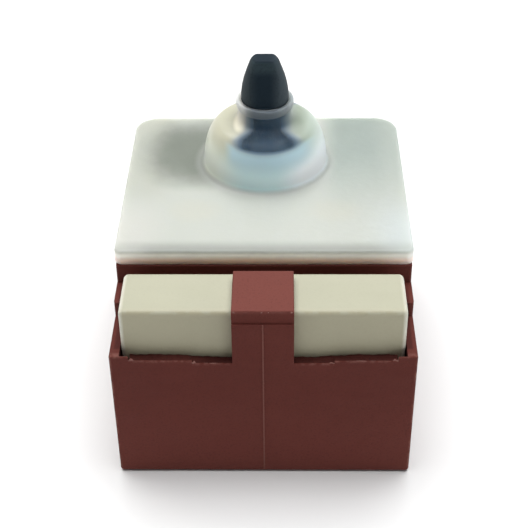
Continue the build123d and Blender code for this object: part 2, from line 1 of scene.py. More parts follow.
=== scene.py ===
"""Looks of the lever switch of an angle grinder.

A red-brown moulded housing holds a cream suppression capacitor in its nose, a
milky silicone boot over the toggle lever, and four wire terminals underneath.
Sizes are in millimetres and become metres where a mesh is made.
"""

import logging
from collections.abc import Callable
from dataclasses import dataclass
from enum import Enum
from math import cos, pi, radians, sin

import bmesh
import bpy
import numpy as np
from mathutils import Matrix, Vector


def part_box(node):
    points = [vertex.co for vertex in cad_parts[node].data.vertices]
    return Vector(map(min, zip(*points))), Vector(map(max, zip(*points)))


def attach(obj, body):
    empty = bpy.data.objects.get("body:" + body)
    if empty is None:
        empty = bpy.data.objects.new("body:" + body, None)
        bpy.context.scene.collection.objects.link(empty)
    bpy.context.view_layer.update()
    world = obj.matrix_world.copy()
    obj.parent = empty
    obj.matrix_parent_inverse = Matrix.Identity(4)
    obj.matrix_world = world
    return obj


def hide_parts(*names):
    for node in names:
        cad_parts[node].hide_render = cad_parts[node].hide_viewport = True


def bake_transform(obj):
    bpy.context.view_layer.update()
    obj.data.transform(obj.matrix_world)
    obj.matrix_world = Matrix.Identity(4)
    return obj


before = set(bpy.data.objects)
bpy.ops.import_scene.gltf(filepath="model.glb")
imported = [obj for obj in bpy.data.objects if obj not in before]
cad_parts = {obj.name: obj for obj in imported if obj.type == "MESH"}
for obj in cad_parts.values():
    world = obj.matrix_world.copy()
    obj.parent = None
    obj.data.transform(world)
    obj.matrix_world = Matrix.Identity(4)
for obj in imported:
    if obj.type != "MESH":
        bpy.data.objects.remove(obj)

LOG = logging.getLogger("lever_switch")
MM = 0.001
SIDES = ("left", "right")
Colour = tuple[float, float, float]
Span = tuple[float, float]


# ---- shader maths -----------------------------------------------------------------


class Value:
    """One output socket of a material, with the arithmetic that the finishes use."""

    def __init__(self, recipe: "Recipe", socket: bpy.types.NodeSocket) -> None:
        """Wraps a socket.

        Args:
            recipe: The material that the socket belongs to.
            socket: The output socket.
        """
        self.recipe = recipe
        self.socket = socket

    def _maths(self, operation: str, first: "Value | float", second: "Value | float") -> "Value":
        """Adds one Math node.

        Args:
            operation: The node's operation.
            first: Its first operand.
            second: Its second operand.

        Returns:
            The node's result.
        """
        node = self.recipe.node(
            "ShaderNodeMath", {"operation": operation}, {0: first, 1: second}
        )
        return self.recipe.output(node)

    def __add__(self, other: "Value | float") -> "Value":
        """self + other."""
        return self._maths("ADD", self, other)

    def __radd__(self, other: float) -> "Value":
        """other + self."""
        return self._maths("ADD", other, self)

    def __sub__(self, other: "Value | float") -> "Value":
        """self - other."""
        return self._maths("SUBTRACT", self, other)

    def __rsub__(self, other: float) -> "Value":
        """other - self."""
        return self._maths("SUBTRACT", other, self)

    def __mul__(self, other: "Value | float") -> "Value":
        """self * other."""
        return self._maths("MULTIPLY", self, other)

    def __rmul__(self, other: float) -> "Value":
        """other * self."""
        return self._maths("MULTIPLY", other, self)

    def __pow__(self, power: float) -> "Value":
        """self to a power."""
        return self._maths("POWER", self, power)

    def least(self, other: "Value | float") -> "Value":
        """The smaller of the two."""
        return self._maths("MINIMUM", self, other)

    def most(self, other: "Value | float") -> "Value":
        """The larger of the two."""
        return self._maths("MAXIMUM", self, other)

    def size(self) -> "Value":
        """The value without its sign."""
        return self._maths("ABSOLUTE", self, 0.0)

    def ramp(self, start: float, end: float) -> "Value":
        """Rises smoothly from 0 at start to 1 at end, and stays there.

        Args:
            start: The value that gives 0.
            end: The value that gives 1; it may be below start.

        Returns:
            The smooth step between them.
        """
        node = self.recipe.node(
            "ShaderNodeMapRange",
            {"interpolation_type": "SMOOTHSTEP", "clamp": True},
            {0: self, 1: min(start, end), 2: max(start, end)},
        )
        step = self.recipe.output(node)
        return step if start < end else 1 - step


class Recipe:
    """The node tree of one material or of the sky."""

    def __init__(self, owner: bpy.types.Material | bpy.types.World) -> None:
        """Starts an empty tree in its owner."""
        owner.use_nodes = True
        self.owner = owner
        self.tree = owner.node_tree
        self.tree.nodes.clear()

    @classmethod
    def finish(cls, name: str) -> "Recipe":
        """Starts a material whose place reads the surface point in millimetres."""
        recipe = cls(bpy.data.materials.new(name))
        coordinates = recipe.node("ShaderNodeTexCoord")
        scale = recipe.node(
            "ShaderNodeVectorMath",
            {"operation": "SCALE"},
            {0: recipe.output(coordinates, "Object"), "Scale": 1 / MM},
        )
        recipe.place = recipe.output(scale)
        return recipe

    def node(
        self,
        kind: str,
        settings: dict[str, object] | None = None,
        sockets: dict[str | int, object] | None = None,
    ) -> bpy.types.Node:
        """Adds one node.

        Args:
            kind: The node's type.
            settings: Its properties.
            sockets: A value or a link for each input, by name or number.

        Returns:
            The new node.
        """
        made = self.tree.nodes.new(kind)
        for name, setting in (settings or {}).items():
            setattr(made, name, setting)
        for key, given in (sockets or {}).items():
            if isinstance(given, Value):
                self.tree.links.new(given.socket, made.inputs[key])
            else:
                made.inputs[key].default_value = given
        return made

    def output(self, node: bpy.types.Node, key: str | int = 0) -> Value:
        """One output of a node as a value."""
        return Value(self, node.outputs[key])

    def axes(self) -> tuple[Value, Value, Value]:
        """The surface point's x, y and z in millimetres."""
        node = self.node("ShaderNodeSeparateXYZ", sockets={0: self.place})
        return self.output(node, 0), self.output(node, 1), self.output(node, 2)

    def noise(self, per_mm: float, detail: float = 3.0, stretch: Colour = (1, 1, 1)) -> Value:
        """Fractal noise between 0 and 1.

        Args:
            per_mm: How many lumps there are to the millimetre.
            detail: How many finer layers it has.
            stretch: A factor on per_mm along each axis.

        Returns:
            The noise.
        """
        where = self.node(
            "ShaderNodeMapping", sockets={"Vector": self.place, "Scale": stretch}
        )
        node = self.node(
            "ShaderNodeTexNoise",
            sockets={"Vector": self.output(where), "Scale": per_mm, "Detail": detail},
        )
        return self.output(node)

    def blend(self, amount: Value | float, first: Value | Colour, second: Value | Colour) -> Value:
        """Mixes two colours.

        Args:
            amount: 0 gives first and 1 gives second.
            first: A colour or a colour link.
            second: A colour or a colour link.

        Returns:
            The mixed colour.
        """
        first, second = (
            colour if isinstance(colour, Value) else (*colour, 1.0)
            for colour in (first, second)
        )
        node = self.node(
            "ShaderNodeMix", {"data_type": "RGBA"}, {0: amount, 6: first, 7: second}
        )
        return self.output(node, 2)

    def lay(self, colour: Value | Colour, *layers: tuple[Value, Value | Colour]) -> Value:
        """Lays tints over a colour, one after the other.

        Args:
            colour: What lies underneath.
            *layers: How much of each tint shows, and the tint.

        Returns:
            The mixed colour.
        """
        for amount, tint in layers:
            colour = self.blend(amount, colour, tint)
        return colour

    def relief(self, height: Value, depth: float) -> Value:
        """A normal that follows a height.

        Args:
            height: The height, from 0 to 1.
            depth: What a height of 1 stands for, in millimetres.

        Returns:
            The normal.
        """
        node = self.node(
            "ShaderNodeBump",
            sockets={"Strength": 1.0, "Distance": depth * MM, "Height": height},
        )
        return self.output(node)

    def near_edges(self, low: Vector, high: Vector, reach: float) -> Value:
        """1 along the twelve edges of a box and 0 away from them.

        The distance to an edge is the second smallest of the distances to the box's
        nearest face along x, y and z.

        Args:
            low: The box's lowest corner, in metres.
            high: Its highest corner, in metres.
            reach: How far the edge's mark reaches, in millimetres.

        Returns:
            The mark, fading with the distance.
        """
        gaps = []
        for axis, start, end in zip(self.axes(), low, high):
            middle = (start + end) / 2 / MM
            half = (end - start) / 2 / MM
            gaps.append(half - (axis - middle).size())
        a, b, c = gaps
        second = a.least(b).most(a.most(b).least(c))
        return second.ramp(reach, 0.0)

    def surface(self, **sockets: object) -> bpy.types.Material:
        """Ends the material in one Principled shader.

        Args:
            **sockets: Its inputs, with underscores for the spaces of their names.

        Returns:
            The finished material.
        """
        named = {name.replace("_", " "): given for name, given in sockets.items()}
        shader = self.node("ShaderNodeBsdfPrincipled", sockets=named)
        self.node("ShaderNodeOutputMaterial", sockets={0: self.output(shader)})
        return self.owner


def oval(x: Value, y: Value, middle: Span, pace: Span) -> Value:
    """The squared distance from an oval's middle, which is 1 on its edge.

    Args:
        x: The first coordinate, in millimetres.
        y: The second.
        middle: The oval's middle.
        pace: One over its half widths.

    Returns:
        ((x - middle) pace)^2 + ((y - middle) pace)^2.
    """
    return ((x - middle[0]) * pace[0]) ** 2.0 + ((y - middle[1]) * pace[1]) ** 2.0


# ---- meshes -----------------------------------------------------------------------


def added(name: str, data: bpy.types.ID) -> bpy.types.Object:
    """Puts a new object with this mesh, lamp or camera into the scene."""
    made = bpy.data.objects.new(name, data)
    bpy.context.collection.objects.link(made)
    return made


def ring_piece(name: str, rings: np.ndarray, closed: bool) -> bpy.types.Object:
    """Makes a smooth closed mesh from rings of points.

    Point (i, j) joins (i, j + 1), (i + 1, j + 1) and (i + 1, j), and each ring's last
    point meets its first.  The sum of the corner triple products gives the enclosed
    volume, whose sign turns the faces outwards.

    Args:
        name: The piece's name.
        rings: Points in millimetres, as rings by points by three.
        closed: Whether the last ring meets the first; otherwise both are poles.

    Returns:
        The new object, at the origin.
    """
    count, around = rings.shape[:2]
    rows = np.arange(count if closed else count - 1)
    i, j = np.meshgrid(rows, np.arange(around), indexing="ij")
    below, beside = (i + 1) % count, (j + 1) % around
    quads = np.stack(
        [i * around + j, i * around + beside, below * around + beside, below * around + j],
        axis=-1,
    ).reshape(-1, 4)
    points = rings.reshape(-1, 3) * MM
    a, b, c, d = (points[quads[:, k]] for k in range(4))
    volume = (np.cross(a, b) * c).sum() + (np.cross(a, c) * d).sum()
    if volume < 0:
        quads = quads[:, ::-1]
    mesh = bpy.data.meshes.new(name)
    mesh.from_pydata(points.tolist(), [], quads.tolist())
    work = bmesh.new()
    work.from_mesh(mesh)
    bmesh.ops.remove_doubles(work, verts=work.verts, dist=MM * 1e-4)
    work.to_mesh(mesh)
    work.free()
    mesh.polygons.foreach_set("use_smooth", np.ones(len(mesh.polygons), dtype=bool))
    return added(name, mesh)


def capped(rings: np.ndarray, middles: np.ndarray) -> np.ndarray:
    """Rings with one more at each end, drawn in to that end's middle point."""
    ends = middles + 0 * rings[[0, -1]]
    return np.concatenate([ends[:1], rings, ends[1:]])


def dress(piece: bpy.types.Object, material: bpy.types.Material) -> None:
    """Puts one material on a piece or on every slot of a CAD node."""
    if not piece.material_slots:
        piece.data.materials.append(material)
    for place in piece.material_slots:
        place.material = material


def bezier(count: int, *points: Span) -> np.ndarray:
    """Points on a cubic curve.

    p(t) = (1-t)^3 a + 3 t (1-t)^2 b + 3 t^2 (1-t) c + t^3 d, for t from 0 up to 1
    without its end.

    Args:
        count: How many points to give.
        *points: The four control points a, b, c and d.

    Returns:
        The points, count by two.
    """
    t = np.linspace(0, 1, count, endpoint=False)[:, None]
    a, b, c, d = (np.array(point) for point in points)
    return (1 - t) ** 3 * a + 3 * t * (1 - t) ** 2 * b + 3 * t**2 * (1 - t) * c + t**3 * d


def ring_rows(*columns: np.ndarray | float) -> np.ndarray:
    """Rows of the boot's rings, from columns of which some are single values."""
    return np.stack(np.broadcast_arrays(*columns), axis=-1)


# ---- finishes ---------------------------------------------------------------------


@dataclass(frozen=True)
class MouldedPlastic:
    """Moulded plastic: a spark-eroded grain, faint flow clouds and paler edges, partly
    wear and partly a painted highlight.
    """

    name: str
    colour: Colour
    cloud: Colour
    edge_wear_and_highlight: Colour
    roughness: float
    gloss: float
    grain: float
    edge_mark_reach: float = 0.35
    speckle: float = 0.2
    pit_shade: float = 0.45

    def material(
        self, low: Vector, high: Vector, marks: Callable[[Recipe, Value], Value] | None = None
    ) -> bpy.types.Material:
        """Makes the finish for a piece.

        Args:
            low: The lowest corner of the box whose edges are paler, in metres.
            high: Its highest corner, in metres.
            marks: Adds the piece's own marks to the colour, before the rubbed edges.

        Returns:
            The material.
        """
        recipe = Recipe.finish(self.name)
        clouds = recipe.noise(0.16, 4.0).ramp(0.3, 0.7)
        flow = recipe.noise(0.5, 2.0, (0.25, 1.0, 1.0)).ramp(0.35, 0.75)
        grain = recipe.noise(4.5, 2.0)
        scuffs = recipe.noise(1.1, 6.0).ramp(0.42, 0.62)
        edges = recipe.near_edges(low, high, self.edge_mark_reach)
        colour = recipe.blend(clouds * 0.6 + flow * 0.4, self.colour, self.cloud)
        if marks:
            colour = marks(recipe, colour)
        pits = grain.ramp(0.5, 0.32) * self.speckle
        pit_colour = tuple(part * self.pit_shade for part in self.colour)
        # paler edges: wear broken up by scuffs, and a painted highlight along the edges
        colour = recipe.lay(colour, (pits, pit_colour), (edges * scuffs * 0.7, self.edge_wear_and_highlight))
        waves = recipe.noise(0.35, 1.0)
        return recipe.surface(
            Base_Color=colour,
            Roughness=self.roughness + (grain - 0.5) * 0.2 + clouds * 0.06,
            Specular_IOR_Level=self.gloss,
            Normal=recipe.relief(grain + waves * 6.0, self.grain),
        )


@dataclass(frozen=True)
class Silicone:
    """Milky silicone: thick and pale in the plate, nearly clear before the lever."""

    name: str = "milky_silicone"
    pale: Colour = (0.418, 0.436, 0.398)
    rim: Colour = (0.405, 0.427, 0.398)
    left_shade: Colour = (0.158, 0.175, 0.148)
    right_shade: Colour = (0.262, 0.303, 0.278)
    warm: Colour = (0.46, 0.45, 0.37)
    warm_left: Colour = (0.35, 0.355, 0.30)
    front_left: Colour = (0.455, 0.46, 0.425)
    front_right: Colour = (0.435, 0.472, 0.46)
    front_edge_shade: Colour = (0.20, 0.21, 0.19)
    root_light: Colour = (0.46, 0.48, 0.45)
    front_glow: Colour = (0.74, 0.72, 0.67)
    low_front_glow: Colour = (0.99, 0.66, 0.56)
    side_glow: Colour = (0.47, 0.45, 0.42)
    wall_glow_left: Colour = (0.72, 0.78, 0.67)
    wall_glow_front: Colour = (0.60, 0.80, 0.80)
    wall_glow_right: Colour = (0.86, 0.98, 1.0)
    wall_glow_back: Colour = (0.50, 0.53, 0.50)
    crown_lit_left: Colour = (0.43, 0.425, 0.335)
    crown_shade_right: Colour = (0.285, 0.33, 0.27)
    crown_rim_light: Colour = (0.40, 0.46, 0.41)
    warm_glint: Colour = (0.86, 0.81, 0.62)
    lip: Colour = (0.13, 0.155, 0.18)
    lip_side: Colour = (0.24, 0.27, 0.28)
    lip_left: Colour = (0.52, 0.53, 0.51)
    beside_lever: Colour = (0.24, 0.28, 0.30)
    before_lever: Colour = (0.16, 0.27, 0.40)
    below_lever_glow: Colour = (0.43, 0.585, 0.65)
    band_foot: Span = (-3.2, -0.8)
    band_top: Span = (0.8, 0.1)
    band_left: Span = (-4.3, -3.1)
    band_right: Span = (5.6, 3.4)
    band_back: Span = (1.5, -1.5)
    clearness: float = 0.865
    lip_cover: float = 0.75
    roughness: float = 0.3
    refraction: float = 1.41
    scatter: Colour = (1.0, 1.0, 0.9)
    scatter_reach: float = 2.8
    grain: float = 0.02

    def plate_colour(self, recipe: Recipe, boot: "DustBoot") -> Value:
        """The plate: painted light, paler over the body's walls, and painted shade over the
        hollow.

        Args:
            recipe: The material.
            boot: The boot that it goes on.

        Returns:
            The colour.
        """
        x, y, z = recipe.axes()
        soft = recipe.noise(0.22, 3.0).ramp(0.3, 0.7)
        left = oval(x, y, middle=(-7.5, 10.0), pace=(0.17, 0.15))
        left = left + (recipe.noise(0.35, 3.0) - 0.5) * 0.5
        right = x.ramp(5.2, 8.2) * y.ramp(-4.5, 12.0)
        warm_spots = oval(x.size(), y, middle=(7.0, -0.9), pace=(0.3, 0.4))
        over_wall = x.size().ramp(boot.hollow_x - 2.2, boot.hollow_x + 0.5)
        near_front = y.ramp(3.0, -4.0)
        front_edge = y.ramp(boot.low.y + 2.1, boot.low.y + 0.1)
        front_edge = front_edge * (1 - x.size().ramp(10.0, 14.2) * 0.45)
        low_edge = z.ramp(boot.plate_top - 0.04, boot.plate_top - 0.6)
        reach = x**2.0 + (y - boot.lever_y) ** 2.0
        root_light = reach.ramp((boot.radius + 1.3) ** 2, (boot.radius + 0.3) ** 2)
        edge_glow = recipe.blend(z.ramp(boot.base + 1.0, boot.base + 0.3), self.front_glow, self.low_front_glow)
        rim = recipe.blend(y.ramp(boot.low.y + 0.8, boot.low.y + 0.2), self.side_glow, edge_glow)
        return recipe.lay(
            self.pale,
            (soft * 0.25, self.rim),
            (warm_spots.ramp(1.0, 0.0) * 0.3, self.warm),
            (x.ramp(-8.5, -12.5) * y.ramp(-2.0, 5.0) * 0.7, self.warm_left),
            (left.ramp(1.5, 0.1), self.left_shade),
            (right, self.right_shade),
            # painted light: paler where the body's walls below send light back up through the
            # silicone
            (over_wall * 0.3, self.rim),
            (x.ramp(-8.5, -13.0) * near_front, self.front_left),
            (x.ramp(9.0, 13.5) * near_front, self.front_right),
            # painted shade: darker where the plate's top rounds over into its front edge
            (front_edge * 0.85, self.front_edge_shade),
            # painted light: paler round the dome's root, against the shade there
            (root_light * 0.35, self.root_light),
            # painted light: a peach glow from the red housing on the plate's front face, brightest
            # low down, and a plainer glow on its sides and back
            (low_edge, rim),
        )

    def dome_colour(self, recipe: Recipe, boot: "DustBoot") -> Value:
        """The dome, all painted light: its walls glow with the light inside and carry a
        painted highlight on the right; its plainer crown is lit on the left, shaded on
        the right and has a painted warm glint.

        Args:
            recipe: The material.
            boot: The boot that it goes on.

        Returns:
            The colour.
        """
        x, y, z = recipe.axes()
        from_lever = y - boot.lever_y
        glint = oval(x, from_lever, middle=(-2.5, -1.2), pace=(1.1, 0.5))
        crown = recipe.lay(
            self.crown_lit_left,
            (x.ramp(-2.5, 2.5), self.crown_shade_right),
            (x.ramp(3.4, 5.4), self.crown_rim_light),
            (glint.ramp(1.0, 0.0), self.warm_glint),
        )
        # painted light: the walls' glow of light scattered inside, with a painted highlight on the
        # right wall
        return recipe.lay(
            self.wall_glow_left,
            (x.ramp(-5.6, -1.8), self.wall_glow_front),
            (x.ramp(0.8, 4.2), self.wall_glow_right),
            (from_lever.ramp(-2.0, 3.0), self.wall_glow_back),
            (z.ramp(boot.dome_top - 3.1, boot.dome_top - 0.3), crown),
        )

    def material(self, boot: "DustBoot") -> bpy.types.Material:
        """Makes the finish, laid out by the boot's own sizes.

        The thin silicone before the lever is as wide as the lever's neck high up and as
        wide as its skirt lower down.  Heights in it are taken along a line of sight that
        looks down at the lever, z - |y| * slope, so that the outer and the inner wall
        thin at the same place.  A band of painted bluish glow lies below it, on the dome's
        front half, for light scattered in the wall over the shaded hollow.

        Args:
            boot: The boot that it goes on.

        Returns:
            The material.
        """
        recipe = Recipe.finish(self.name)
        x, y, z = recipe.axes()
        seen_height = z - (y - boot.lever_y).size() * boot.view_slope
        on_dome = z.ramp(boot.plate_top + 0.02, boot.plate_top + 0.5)
        colour = recipe.blend(
            on_dome, self.plate_colour(recipe, boot), self.dome_colour(recipe, boot)
        )
        flare = seen_height.ramp(boot.neck_from, boot.skirt_from)
        half_width = flare * (boot.clear_skirt - boot.clear_neck) + boot.clear_neck
        beside = (x - boot.clear_shift).size() - half_width
        above = seen_height - x**2.0 * 0.1 - boot.clear_from
        thin = above.ramp(0.0, 0.8) * beside.ramp(0.1, -1.6)
        shade = above.ramp(-0.5, 0.6) * beside.ramp(0.7, -1.0)
        below = above.ramp(*self.band_foot) * above.ramp(*self.band_top)
        below = below * x.ramp(*self.band_left) * x.ramp(*self.band_right)
        below = below * (y - boot.lever_y).ramp(*self.band_back)
        lip = z.ramp(boot.lip_bottom - 0.25, boot.lip_bottom + 0.1)
        lip_colour = recipe.lay(
            self.lip, (x.ramp(0.8, 2.8), self.lip_side), (x.ramp(-1.0, -2.8), self.lip_left)
        )
        colour = recipe.lay(
            colour,
            # painted light: bluish glow below the window, from light scattered in the wall over
            # the shaded hollow
            (below * on_dome * 0.9, self.below_lever_glow),
            (shade * 0.8, self.beside_lever),
            (thin, self.before_lever),
            (lip, lip_colour),
        )
        cover = (1 - thin * (self.clearness - flare * 0.01)).most(lip * self.lip_cover)
        grain = recipe.noise(1.6, 3.0)
        return recipe.surface(
            Base_Color=colour,
            Roughness=self.roughness + grain * 0.1,
            Alpha=cover,
            IOR=self.refraction,
            Subsurface_Weight=1.0,
            Subsurface_Radius=self.scatter,
            Subsurface_Scale=self.scatter_reach * MM,
            Normal=recipe.relief(grain, self.grain),
        )


@dataclass(frozen=True)
class CastResin:
    """Poured resin: glossy, with pinholes and darker swirls."""

    name: str = "cast_resin"
    colour: Colour = (0.30, 0.27, 0.19)
    swirl: Colour = (0.18, 0.16, 0.11)

    def material(self) -> bpy.types.Material:
        """Makes the finish."""
        recipe = Recipe.finish(self.name)
        swirls = recipe.noise(0.5, 5.0).ramp(0.4, 0.65)
        holes = recipe.node(
            "ShaderNodeTexVoronoi", sockets={"Vector": recipe.place, "Scale": 1.4}
        )
        pits = recipe.output(holes).ramp(0.16, 0.05)
        return recipe.surface(
            Base_Color=recipe.blend(swirls + pits, self.colour, self.swirl),
            Roughness=0.22 + swirls * 0.15,
            Normal=recipe.relief(1 - pits + recipe.noise(0.8) * 0.5, 0.08),
        )


class MetalKind(Enum):
    """The metals of the contact gear: colour, tarnish, roughness."""

    BRASS = ((0.72, 0.52, 0.22), (0.38, 0.25, 0.10), 0.28)
    COPPER = ((0.80, 0.42, 0.26), (0.36, 0.17, 0.10), 0.30)
    SILVER = ((0.86, 0.85, 0.82), (0.45, 0.41, 0.36), 0.26)
    ZINC = ((0.66, 0.68, 0.70), (0.42, 0.44, 0.47), 0.33)
    STEEL = ((0.52, 0.53, 0.55), (0.24, 0.24, 0.26), 0.30)
    TIN = ((0.74, 0.73, 0.70), (0.46, 0.45, 0.43), 0.38)


@dataclass(frozen=True)
class Metal:
    """Rolled or drawn metal with fine drawing lines and tarnish."""

    kind: MetalKind
    lines: Colour = (1.0, 0.08, 1.0)

    def material(self) -> bpy.types.Material:
        """Makes the finish."""
        bright, tarnish, roughness = self.kind.value
        recipe = Recipe.finish(f"metal_{self.kind.name.lower()}")
        stains = recipe.noise(0.7, 5.0).ramp(0.45, 0.75)
        lines = recipe.noise(9.0, 2.0, self.lines)
        return recipe.surface(
            Base_Color=recipe.blend(stains * 0.7, bright, tarnish),
            Metallic=1.0,
            Roughness=roughness + stains * 0.2 + lines * 0.08,
            Normal=recipe.relief(lines, 0.008),
        )


# ---- sub-assemblies ---------------------------------------------------------------


@dataclass
class Studio:
    """Pale floor, soft overhead light and the camera."""

    camera_place: Colour = (1.7, -101.475, 89.9)
    pitch: float = 37.17
    yaw: float = 1.03
    roll: float = -0.63
    lens: float = 83.25
    sensor: float = 36.0
    clip: Span = (0.005, 10.0)
    floor_size: float = 3000.0
    floor_cells: int = 8
    floor_drop: float = 0.03
    floor_shade: float = 0.72
    sky_low: float = 0.85
    sky_high: float = 0.08
    sky_fade: Span = (0.12, 0.3)
    sun_strength: float = 1.7
    sun_width: float = 70.0
    sun_lean: float = 15.0

    def camera(self) -> None:
        """Places the camera, level but for its pitch, yaw and slight roll."""
        pitch, yaw, roll = radians(self.pitch), radians(self.yaw), radians(self.roll)
        ahead = Vector((-sin(yaw) * cos(pitch), cos(yaw) * cos(pitch), -sin(pitch)))
        right = Vector((cos(yaw), sin(yaw), 0.0))
        up = right.cross(ahead)
        turned_right = cos(roll) * right + sin(roll) * up
        turned_up = cos(roll) * up - sin(roll) * right
        data = bpy.data.cameras.new("camera")
        data.lens = self.lens
        data.sensor_width = self.sensor
        data.clip_start, data.clip_end = self.clip
        eye = added("camera", data)
        turn = Matrix((turned_right, turned_up, -ahead)).transposed().to_4x4()
        eye.matrix_world = Matrix.Translation(Vector(self.camera_place) * MM) @ turn
        bpy.context.scene.camera = eye

    def floor(self) -> None:
        """Lays the floor: a level grid that covers the view, a hair below the switch."""
        row = self.floor_cells + 1
        steps = np.linspace(-self.floor_size / 2, self.floor_size / 2, row)
        x, y = np.meshgrid(steps, steps, indexing="ij")
        points = np.stack([x, y, 0 * x - self.floor_drop], axis=-1).reshape(-1, 3) * MM
        cells = np.arange(self.floor_cells)
        i, j = (part.ravel() for part in np.meshgrid(cells, cells, indexing="ij"))
        corner = i * row + j
        quads = np.stack([corner, corner + row, corner + row + 1, corner + 1], axis=-1)
        mesh = bpy.data.meshes.new("floor")
        mesh.from_pydata(points.tolist(), [], quads.tolist())
        floor = added("floor", mesh)
        recipe = Recipe.finish("pale_floor")
        clouds = recipe.noise(0.01)
        shade = recipe.blend(clouds, (self.floor_shade,) * 3, (self.floor_shade + 0.02,) * 3)
        dress(floor, recipe.surface(Base_Color=shade, Roughness=0.9, Specular_IOR_Level=0.1))

    def softbox(
        self, name: str, place: Colour, aim: Colour, width: float, power: float, tint: Colour
    ) -> None:
        """Hangs one square lamp.

        Args:
            name: Its name.
            place: Where it hangs, in millimetres.
            aim: The point that it faces, in millimetres.
            width: Its side, in millimetres.
            power: Its power in watts.
            tint: Its colour.
        """
        data = bpy.data.lights.new(name, "AREA")
        data.energy = power
        data.size = width * MM
        data.color = tint
        facing = (Vector(aim) - Vector(place)).to_track_quat("-Z", "Y").to_matrix().to_4x4()
        added(name, data).matrix_world = Matrix.Translation(Vector(place) * MM) @ facing

    def lights(self) -> None:
        """One wide soft light from above and behind, two soft side lamps, and the sky.

        The sky's strength falls smoothly from its horizon to its top with the height of
        the direction looked at.
        """
        sun = bpy.data.lights.new("overhead", "SUN")
        sun.energy = self.sun_strength * pi
        sun.angle = radians(self.sun_width)
        added("overhead", sun).rotation_euler = (radians(-self.sun_lean), 0.0, 0.0)
        self.softbox("cool_side", (400, -160, 60), (0, 0, 15), 150, 0.16, (0.90, 0.96, 1.0))
        self.softbox("warm_back", (-330, 210, 180), (0, 0, 20), 120, 0.14, (1.0, 0.93, 0.80))
        self.softbox("front_fill", (220, -330, 40), (0, 0, 15), 120, 0.12, (0.84, 0.94, 1.0))
        sky = Recipe(bpy.data.worlds.new("sky"))
        coordinates = sky.node("ShaderNodeTexCoord")
        direction = sky.node(
            "ShaderNodeSeparateXYZ", sockets={0: sky.output(coordinates, "Generated")}
        )
        fade = sky.output(direction, 2).ramp(*self.sky_fade)
        strength = self.sky_low - fade * (self.sky_low - self.sky_high)
        glow = sky.node("ShaderNodeBackground", sockets={"Strength": strength})
        sky.node("ShaderNodeOutputWorld", sockets={0: sky.output(glow)})
        bpy.context.scene.world = sky.owner

    def build(self) -> None:
        """Sets up the whole studio."""
        self.camera()
        self.floor()
        self.lights()
        bpy.context.scene.view_settings.view_transform = "Standard"
        LOG.info("studio ready")


